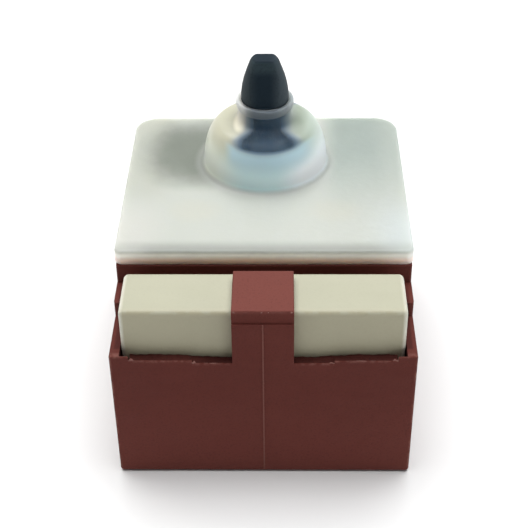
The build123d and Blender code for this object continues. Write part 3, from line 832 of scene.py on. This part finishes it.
@dataclass
class HousingMoulding:
    """The housing and the mechanism cover, with the moulding's small flaws and a dark skin of
    painted shade in the front wall's gap.
    """

    foot: float = 13.0
    hook_reach: float = 0.5
    hook_half: float = 2.85
    hook_edge: float = 0.15
    fin_thickness: float = 0.05
    fin_inset: float = 0.13
    corner_top: float = 15.1
    wall_step_x: float = 12.5
    notch_step_x: float = 6.6
    wall_top: float = 14.6
    notch_top: float = 14.3
    ledge_depth: float = 0.6
    ledge_fall: float = 0.22
    ledge_sag: float = 0.06
    ledge_steps: int = 160
    rim: float = 0.3
    parting: float = 0.1
    step_blur: float = 0.03
    lifted: Colour = (0.135, 0.036, 0.028)
    hook_top_sheen: Colour = (0.136, 0.040, 0.032)
    parting_and_rim_light: Colour = (0.20, 0.085, 0.070)
    pocket_shade: Colour = (0.055, 0.012, 0.010)

    def marks(self, recipe: Recipe, colour: Value) -> Value:
        """Adds the paler foot, painted sheen on the hook's top, a painted highlight along
        the wall's rim, the parting line and painted shade in the pocket.

        Args:
            recipe: The housing's material.
            colour: The moulding's colour.

        Returns:
            The colour with the marks.
        """
        low, high = (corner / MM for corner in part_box("housing"))
        case_low, case_high = (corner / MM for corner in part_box("capacitor_case"))
        x, y, z = recipe.axes()
        pocket = y.ramp(case_low.y - 0.15, case_low.y + 0.1)
        pocket = pocket * y.ramp(case_high.y + 2.0, case_high.y)
        between = x.size().ramp(high.x - 0.3, high.x - 0.5) * z.ramp(high.z - 1.0, high.z - 1.6)
        hook = z.ramp(high.z - self.hook_reach, high.z)
        line = x.size().ramp(self.parting, 0.4 * self.parting) * y.ramp(low.y + 0.1, low.y)
        outer, middle = (
            x.size().ramp(step - self.step_blur, step + self.step_blur)
            for step in (self.wall_step_x, self.notch_step_x)
        )
        top = middle * (self.wall_top - self.notch_top) + self.notch_top
        top = top + outer * (self.corner_top - self.wall_top)
        rim = (top - z).size().ramp(self.rim, 0.0) * y.ramp(low.y + 0.8, low.y + 0.4)
        rim = rim * x.size().ramp(self.hook_half + 0.1, self.hook_half + 0.3)
        rim_patches = recipe.noise(1.7, 4.0).ramp(0.38, 0.66)
        return recipe.lay(
            colour,
            (z.ramp(self.foot, 0.0) * 0.8, self.lifted),
            # painted shade inside the pocket round the capacitor
            (pocket * between * 0.8, self.pocket_shade),
            # painted sheen on the hook's top
            (hook, self.hook_top_sheen),
            (line * 0.6, self.parting_and_rim_light),
            # painted highlight along the front wall's top edge, in patches
            (rim * rim_patches * 0.55, self.parting_and_rim_light),
        )

    def fin(self, name: str, place: Colour, length: float, height: float) -> bpy.types.Object:
        """Makes one sliver of flash that stands on an edge along x.

        Its cross-section is an ellipse whose height follows
        h(t) = sin(pi t)^0.7 (0.7 + 0.3 sin(11 t + x)), and both ends close to a point.

        Args:
            name: The sliver's name.
            place: The middle of its foot, in millimetres.
            length: Its length.
            height: Its height.

        Returns:
            The sliver.
        """
        t = np.linspace(0, 1, 33)[:, None]
        turn = np.linspace(0, 2 * pi, 10, endpoint=False)
        swell = np.maximum(np.sin(pi * t), 0) ** 0.7
        tall = swell * (0.7 + 0.3 * np.sin(11 * t + place[0])) * height
        x = place[0] + (t - 0.5) * length + 0 * turn
        y = place[1] + swell * self.fin_thickness * (np.cos(turn) + 0.5 * np.sin(9 * t))
        z = place[2] + tall * 0.5 * (1 + np.sin(turn)) - swell * self.fin_thickness
        piece = ring_piece(name, np.stack([x, y, z], axis=-1), closed=False)
        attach(piece, "housing_body")
        return piece

    def ledge(self, side: str, material: bpy.types.Material) -> None:
        """Lays the rough skin that bridges the front wall's lip and the capacitor; its very
        dark colour is painted shade.

        Its top follows the wall's steps and sags by
        s(x) = sag (1 + 0.6 sin(2.3 x) + 0.4 sin(7.1 x + 1)), and both ends are closed.

        Args:
            side: "left" or "right", the half of the wall.
            material: The finish.
        """
        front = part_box("housing")[0].y / MM + self.fin_inset
        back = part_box("capacitor_case")[0].y / MM - 0.01
        x = np.linspace(self.hook_half + 0.02, self.wall_step_x - 0.02, self.ledge_steps)
        x = -x if side == "left" else x
        lift = np.clip((np.abs(x) - self.notch_step_x) / 0.06 + 0.5, 0, 1)
        drift = np.clip((np.abs(x) - self.notch_step_x) / 4.0 + 0.5, 0, 1)
        step = self.wall_top - self.notch_top
        top = self.notch_top + step * lift - 0.02
        back_top = self.notch_top + step * drift - self.ledge_fall
        sag = self.ledge_sag * (1 + 0.6 * np.sin(2.3 * x) + 0.4 * np.sin(7.1 * x + 1))
        section = [
            (front, top),
            ((2 * front + back) / 3, (2 * top + back_top) / 3 - sag),
            ((front + 2 * back) / 3, (top + 2 * back_top) / 3 - 0.6 * sag),
            (back, back_top + 0.8 * sag),
            (back, top - self.ledge_depth),
            (front, top - 0.5 * self.ledge_depth),
        ]
        rings = np.stack([np.stack([x, y + 0 * x, z], axis=-1) for y, z in section], axis=1)
        rings = capped(rings, rings[[0, -1]].mean(axis=1, keepdims=True))
        piece = ring_piece(f"wall_skin_{side}", rings, closed=False)
        dress(piece, material)
        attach(piece, "housing_body")

    def flash(self, material: bpy.types.Material) -> None:
        """Leaves slivers of flash at the front wall's steps and on the hook's edge."""
        low, high = (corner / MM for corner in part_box("housing"))
        edge_y = low.y + self.fin_inset
        hook_y, hook_z = low.y + self.hook_edge * 1.5, high.z - self.hook_edge
        slivers = (
            (-self.wall_step_x + 0.1, edge_y, self.wall_top, 1.0, 0.38),
            (-self.notch_step_x + 0.1, edge_y, self.notch_top, 0.6, 0.42),
            (-self.notch_step_x + 1.9, edge_y, self.notch_top, 1.6, 0.12),
            (self.notch_step_x, edge_y, self.notch_top, 1.0, 0.30),
            (self.notch_step_x + 2.6, edge_y, self.wall_top, 2.4, 0.10),
            (self.wall_step_x - 0.1, edge_y, self.wall_top, 0.9, 0.40),
            (-self.hook_half + 0.25, hook_y, hook_z, 0.45, 0.17),
            (-0.1, hook_y, hook_z, 0.30, 0.19),
            (0.5, hook_y, hook_z, 0.22, 0.13),
            (self.hook_half - 0.25, hook_y, hook_z, 0.40, 0.17),
        )
        for number, (x, y, z, length, height) in enumerate(slivers):
            dress(self.fin(f"flash_{number}", (x, y, z), length, height), material)

    def build(self) -> None:
        """Dresses the housing and its cover."""
        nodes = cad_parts
        finish = MouldedPlastic(
            "red_brown_moulding",
            colour=(0.095, 0.0225, 0.0172),
            cloud=(0.106, 0.0265, 0.0205),
            edge_wear_and_highlight=(0.25, 0.11, 0.09),
            roughness=0.66,
            gloss=0.1,
            grain=0.03,
            edge_mark_reach=0.3,
        )
        moulding = finish.material(*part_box("housing"), self.marks)
        dress(nodes["housing"], moulding)
        thin = MouldedPlastic(
            "thin_flash",
            colour=(0.19, 0.075, 0.062),
            cloud=(0.24, 0.11, 0.09),
            edge_wear_and_highlight=(0.25, 0.11, 0.09),
            roughness=0.5,
            gloss=0.3,
            grain=0.01,
        )
        self.flash(thin.material(*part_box("housing")))
        skin = MouldedPlastic(
            "shaded_skin",
            colour=(0.048, 0.011, 0.009),
            cloud=(0.075, 0.020, 0.016),
            edge_wear_and_highlight=(0.16, 0.06, 0.05),
            roughness=0.7,
            gloss=0.1,
            grain=0.05,
            speckle=0.4,
        )
        skin_material = skin.material(*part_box("housing"))
        for side in SIDES:
            self.ledge(side, skin_material)
        cover = MouldedPlastic(
            "pale_cover_moulding",
            colour=(0.60, 0.60, 0.50),
            cloud=(0.66, 0.66, 0.56),
            edge_wear_and_highlight=(0.72, 0.72, 0.66),
            roughness=0.5,
            gloss=0.4,
            grain=0.01,
        )
        dress(nodes["mechanism_cover"], cover.material(*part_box("mechanism_cover")))
        LOG.info("housing moulding dressed")


@dataclass
class DustBoot:
    """Silicone boot: a rounded plate on the body and a dome that grips the lever.

    Every ring of its surface is R(a) = (1 - w) r + w D(a), where r is a circle round
    the lever, D the distance to the plate's outline drawn in by d, and w goes from 0 on
    the dome to 1 on the plate.
    """

    back_corner: float = 2.5
    front_corner: float = 0.7
    plate: float = 1.0
    plate_edge: float = 0.25
    base_edge: float = 0.12
    cover_rise: float = 0.63
    rim: float = 1.15
    radius: float = 6.45
    wall: float = 0.8
    root: float = 0.6
    dome_height: float = 4.9
    shoulder_radius: float = 4.2
    shoulder_inset: float = 0.25
    neck_radius: float = 2.7
    neck_height: float = 1.6
    lip_radius: float = 2.95
    lip_top_radius: float = 2.8
    grip_radius: float = 2.45
    view_slope: float = 0.75
    clear_from: float = 20.0
    skirt_from: float = 22.0
    neck_from: float = 23.7
    clear_shift: float = 0.25
    clear_neck: float = 2.55
    clear_skirt: float = 3.75
    swell: float = 0.03
    around: int = 360
    corner_steps: int = 24
    farthest: float = 60.0
    halvings: int = 44

    def __post_init__(self) -> None:
        """Reads its place from the CAD boot and lever."""
        low, high = (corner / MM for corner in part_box("dust_boot"))
        lever_low, lever_high = (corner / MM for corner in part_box("toggle_lever"))
        _, cover_high = (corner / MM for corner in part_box("mechanism_cover"))
        self.low, self.high = low, high
        self.lever_y = (lever_low.y + lever_high.y) / 2
        self.base = low.z
        self.plate_top = low.z + self.cover_rise + self.plate - self.swell
        self.dome_top = self.plate_top + self.dome_height
        self.lip_bottom = self.dome_top + self.neck_height
        self.lip_top = high.z
        self.hollow_x = cover_high.x

    def angles(self) -> np.ndarray:
        """Directions round the lever: even steps, with more towards the corners."""
        sets = [np.linspace(-pi, pi, self.around, endpoint=False)]
        for x in (self.low.x, self.high.x):
            for y, reach in ((self.low.y, self.front_corner), (self.high.y, self.back_corner)):
                inner_x = x - np.sign(x) * reach
                inner_y = y - np.sign(y - self.lever_y) * reach
                towards = np.arctan2(inner_y - self.lever_y, inner_x)
                spread = 1.3 * reach / np.hypot(inner_x, inner_y - self.lever_y)
                sets.append(towards + np.linspace(-spread, spread, self.corner_steps))
        return np.unique(np.round(np.concatenate(sets), 5))

    def outline(self, angles: np.ndarray, inset: np.ndarray) -> np.ndarray:
        """Distance from the lever's axis to the plate's outline in each direction.

        The outline is where the rounded rectangle's signed distance
        |max(q, 0)| + min(max(qx, qy), 0) - r is zero, with q = |p| - (half size - r);
        halving the span again and again finds it along each ray.

        Args:
            angles: Directions round the lever.
            inset: How far the outline is drawn in, one for each ring.

        Returns:
            Distances, rings by angles.
        """
        half_x = (self.high.x - self.low.x) / 2 - inset[:, None]
        half_y = (self.high.y - self.low.y) / 2 - inset[:, None]
        middle_y = (self.high.y + self.low.y) / 2
        near = np.zeros((len(inset), len(angles)))
        far = np.full_like(near, self.farthest)
        for _ in range(self.halvings):
            reach = (near + far) / 2
            x = reach * np.cos(angles)
            y = reach * np.sin(angles) + self.lever_y - middle_y
            corner = np.where(y > 0, self.back_corner, self.front_corner) - inset[:, None]
            corner = np.maximum(corner, 0.05)
            qx = np.abs(x) - (half_x - corner)
            qy = np.abs(y) - (half_y - corner)
            outside = np.hypot(np.maximum(qx, 0), np.maximum(qy, 0))
            distance = outside + np.minimum(np.maximum(qx, qy), 0) - corner
            near = np.where(distance < 0, reach, near)
            far = np.where(distance < 0, far, reach)
        return (near + far) / 2

    def profile(self) -> np.ndarray:
        """The rings from the lip's inner edge down the outside and back up the inside.

        Returns:
            One row (r, w, d, z) for each ring.
        """
        mid_lip = (self.lip_bottom + self.lip_top) / 2
        half_lip = (self.lip_top - self.lip_bottom) / 2
        turn = np.linspace(0, 1, 14, endpoint=False)
        bead = np.stack(
            [
                self.neck_radius + (self.lip_radius - self.neck_radius) * np.sin(pi * turn) ** 0.6
                + (self.lip_top_radius - self.neck_radius) * (1 - turn) ** 3,
                mid_lip + half_lip * np.cos(pi * turn),
            ],
            axis=1,
        )
        neck = bezier(
            16,
            (self.neck_radius, self.lip_bottom),
            (self.neck_radius, self.dome_top + 0.35 * self.neck_height),
            (self.neck_radius, self.dome_top + 0.25 * self.neck_height),
            (self.shoulder_radius, self.dome_top),
        )
        dome = bezier(
            30,
            (self.shoulder_radius, self.dome_top),
            (self.radius - self.shoulder_inset, self.plate_top + 0.97 * self.dome_height),
            (self.radius, self.plate_top + 0.25 * self.dome_height),
            (self.radius, self.plate_top + self.root),
        )
        turn = np.linspace(0, pi / 2, 8)
        root = np.stack(
            [
                self.radius + self.root * (1 - np.cos(turn)),
                self.plate_top + self.root * (1 - np.sin(turn)),
            ],
            axis=1,
        )
        circles = np.concatenate([bead, neck, dome, root])
        outer = ring_rows(circles[:, 0], 0.0, 0.0, circles[:, 1])

        spread = np.linspace(0, 1, 14)[1:]
        top = ring_rows(self.radius + self.root, spread, self.plate_edge, self.plate_top)
        turn = np.linspace(0, pi / 2, 9)[1:]
        edge = ring_rows(
            0.0,
            1.0,
            self.plate_edge * (1 - np.sin(turn)),
            self.plate_top - self.plate_edge * (1 - np.cos(turn)),
        )
        foot = np.array(
            [
                (0, 1, 0.0, self.base + self.base_edge),
                (0, 1, 0.3 * self.base_edge, self.base + 0.3 * self.base_edge),
                (0, 1, self.base_edge, self.base),
                (0, 1, self.rim, self.base),
                (0, 1, self.rim + 0.05, self.base + self.cover_rise - 0.05),
            ]
        )

        inner = self.radius - self.wall
        ceiling = self.base + self.cover_rise
        inner_top = self.dome_top - self.wall
        inner_shoulder = self.shoulder_radius - self.wall
        under = ring_rows(inner, np.linspace(1, 0, 8), self.rim + 0.1, ceiling)
        rise = inner_top - ceiling
        inner_dome = bezier(
            18,
            (inner, ceiling + 0.01 * rise),
            (inner, ceiling + 0.25 * rise),
            (inner - self.shoulder_inset, inner_top - 0.1 * self.dome_height),
            (inner_shoulder, inner_top),
        )
        grip_from = self.dome_top + 0.5 * self.neck_height
        inner_neck = bezier(
            12,
            (inner_shoulder, inner_top),
            (self.grip_radius, inner_top + 0.4 * self.wall),
            (self.grip_radius, inner_top + 0.8 * self.wall),
            (self.grip_radius, grip_from),
        )
        grip = np.array(
            [(self.grip_radius, z) for z in (grip_from, mid_lip, self.lip_top - 0.05)]
        )
        hollow = np.concatenate([inner_dome, inner_neck, grip])
        back = ring_rows(hollow[:, 0], 0.0, 0.0, hollow[:, 1])
        return np.concatenate([outer, top, edge, foot, under, back])

    def build(self) -> None:
        """Makes the boot in place of the CAD boot."""
        angles = self.angles()
        rings = self.profile()
        circle, weight, inset, z = (column[:, None] for column in rings.T)
        reach = (1 - weight) * circle + weight * self.outline(angles, inset[:, 0])
        x = reach * np.cos(angles)
        y = reach * np.sin(angles) + self.lever_y
        # moulded silicone is never quite flat: a slow swell of a few hundredths
        wave = self.swell * np.sin(0.31 * x + 1.0) * np.cos(0.27 * y) * np.minimum(weight * 2, 1)
        points = np.stack([x, y, z + wave - self.swell * (weight > 0)], axis=-1)
        piece = ring_piece("silicone_boot", points, closed=True)
        dress(piece, Silicone().material(self))
        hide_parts("dust_boot")
        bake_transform(piece)
        LOG.info("dust boot built, %d rings of %d points", len(rings), len(angles))


@dataclass
class ToggleLever:
    """The dark lever that stands up through the boot, and its pin and plungers."""

    spring_wire: float = 0.28
    spring_turns: float = 6.5
    spring_ease: float = 0.02
    spring_steps: int = 190
    left_sheen: Colour = (0.036, 0.048, 0.054)
    right_sheen: Colour = (0.046, 0.060, 0.070)
    top_sheen: Colour = (0.030, 0.047, 0.055)

    def marks(self, recipe: Recipe, colour: Value) -> Value:
        """Paints sheen on the tip's sides and shoulders.

        Args:
            recipe: The lever's material.
            colour: The moulding's colour.

        Returns:
            The colour with its paler sides.
        """
        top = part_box("toggle_lever")[1].z / MM
        x, _, z = recipe.axes()
        shoulder = z.ramp(top - 1.6, top - 0.7) * z.ramp(top - 0.02, top - 0.2)
        return recipe.lay(
            colour,
            (shoulder * 0.8, self.top_sheen),
            (x.ramp(-0.5, -2.3), self.left_sheen),
            (x.ramp(0.4, 2.0), self.right_sheen),
        )

    def spring(self, side: str, material: bpy.types.Material) -> None:
        """Winds one plunger's spring, which shortens as its plunger goes in.

        The wire's centre goes round at a radius R while it climbs by H,
        c(a) = (R cos a, R sin a, H a / (2 pi turns)), and each of its rings lies across
        the wire, between the outward direction and its cross product with the wire's own.

        Args:
            side: "left" or "right".
            material: The finish.
        """
        low, high = (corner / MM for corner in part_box(f"plunger_spring_{side}"))
        middle = (low + high) / 2
        radius = (high.x - low.x - self.spring_wire) / 2
        start = low.z + self.spring_wire / 2 + self.spring_ease
        climb = high.z - low.z - self.spring_wire - 2 * self.spring_ease
        angle = np.linspace(0, 2 * pi * self.spring_turns, self.spring_steps)
        outward = np.stack([np.cos(angle), np.sin(angle), 0 * angle], axis=-1)
        rise = climb / (2 * pi * self.spring_turns)
        along = np.stack(
            [-radius * np.sin(angle), radius * np.cos(angle), 0 * angle + rise], axis=-1
        )
        along /= np.linalg.norm(along, axis=1, keepdims=True)
        across = np.cross(along, outward)
        centre = radius * outward + np.array([middle.x, middle.y, start])
        centre[:, 2] += rise * angle
        turn = np.linspace(0, 2 * pi, 12, endpoint=False)[:, None]
        section = np.cos(turn) * outward[:, None] + np.sin(turn) * across[:, None]
        rings = centre[:, None] + self.spring_wire / 2 * section
        rings = capped(rings, centre[[0, -1], None])
        piece = ring_piece(f"plunger_coil_{side}", rings, closed=False)
        dress(piece, material)
        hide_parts(f"plunger_spring_{side}")
        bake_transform(piece)

    def build(self) -> None:
        """Dresses the lever and what it carries."""
        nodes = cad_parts
        finish = MouldedPlastic(
            "slate_moulding",
            colour=(0.008, 0.016, 0.024),
            cloud=(0.010, 0.019, 0.028),
            edge_wear_and_highlight=(0.040, 0.055, 0.065),
            roughness=0.55,
            gloss=0.08,
            grain=0.006,
            edge_mark_reach=0.2,
        )
        dress(nodes["toggle_lever"], finish.material(*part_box("toggle_lever"), self.marks))
        steel = Metal(MetalKind.STEEL).material()
        brass = Metal(MetalKind.BRASS).material()
        dress(nodes["pivot_pin"], steel)
        for side in SIDES:
            dress(nodes[f"plunger_{side}"], brass)
            self.spring(side, steel)
        LOG.info("toggle lever dressed")


@dataclass
class CapacitorBlock:
    """The suppression capacitor: case, resin filling and leads."""

    side_edge_highlight: Colour = (0.60, 0.585, 0.50)
    front_warm_light: Colour = (0.345, 0.315, 0.215)

    def marks(self, recipe: Recipe, colour: Value) -> Value:
        """Paints warm light on the case's front and a highlight on its side edges.

        Args:
            recipe: The case's material.
            colour: The case's colour.

        Returns:
            The colour with the marks.
        """
        low, high = (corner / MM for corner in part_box("capacitor_case"))
        x, y, _ = recipe.axes()
        front = y.ramp(low.y + 0.7, low.y + 0.1)
        side = x.size().ramp(high.x - 0.5, high.x - 0.15)
        return recipe.lay(colour, (front * 0.7, self.front_warm_light), (side * 0.8, self.side_edge_highlight))

    def build(self) -> None:
        """Dresses the capacitor."""
        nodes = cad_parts
        finish = MouldedPlastic(
            "cream_case",
            colour=(0.335, 0.331, 0.245),
            cloud=(0.355, 0.350, 0.260),
            edge_wear_and_highlight=(0.40, 0.40, 0.32),
            roughness=0.42,
            gloss=0.35,
            grain=0.008,
            edge_mark_reach=0.45,
            speckle=0.05,
        )
        dress(nodes["capacitor_case"], finish.material(*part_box("capacitor_case"), self.marks))
        dress(nodes["capacitor_potting"], CastResin().material())
        tin = Metal(MetalKind.TIN).material()
        for side in SIDES:
            dress(nodes[f"capacitor_lead_{side}"], tin)
        LOG.info("capacitor dressed")


@dataclass
class ContactGear:
    """Terminals, clamps, screws, rockers and contacts of the two poles."""

    def build(self) -> None:
        """Dresses the metal parts of both cells."""
        finishes = {
            MetalKind.BRASS: ("load_terminal", "common_terminal"),
            MetalKind.COPPER: ("rocker",),
            MetalKind.SILVER: ("moving_contact", "fixed_contact"),
            MetalKind.ZINC: ("load_clamp", "common_clamp", "load_screw", "common_screw"),
        }
        for metal, parts in finishes.items():
            material = Metal(metal).material()
            for part in parts:
                for side in SIDES:
                    dress(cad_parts[f"{part}_{side}"], material)
        LOG.info("contact gear dressed")


def main() -> None:
    """Builds the switch's looks in order."""
    logging.basicConfig(level=logging.INFO, format="%(name)s: %(message)s")
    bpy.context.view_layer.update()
    for assembly in (
        Studio(),
        HousingMoulding(),
        DustBoot(),
        ToggleLever(),
        CapacitorBlock(),
        ContactGear(),
    ):
        assembly.build()


if __name__ == "__main__":
    main()
